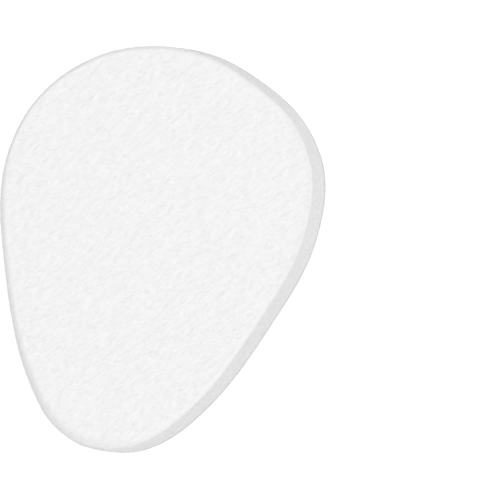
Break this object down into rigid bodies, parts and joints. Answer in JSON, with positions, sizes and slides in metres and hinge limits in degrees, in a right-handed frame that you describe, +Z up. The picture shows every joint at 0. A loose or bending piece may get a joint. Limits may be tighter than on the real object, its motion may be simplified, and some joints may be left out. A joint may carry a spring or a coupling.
{
  "type": "metatarsal pad",
  "caption": "Egg-shaped die-cut felt cushion for the ball of the foot, with an adhesive film and a release liner on its flat back.",
  "frame": {"origin": "middle of the pad's footprint, at the liner's underside, which is the surface that the pad lies on", "axes": "+Y from the narrow heel tip to the broad toe end, +Z up out of the felt's face, +X across, towards the fuller side of the toe end"},
  "size_m": [0.0624, 0.076, 0.0069],
  "materials": {
    "felt_white": "matte pressed felt",
    "adhesive_clear": "glossy tacky film",
    "liner_paper": "smooth coated paper"
  },
  "bodies": {
    "root": {"felt_pad": "felt_white", "adhesive_layer": "adhesive_clear", "release_liner": "liner_paper"}
  },
  "joints": []
}
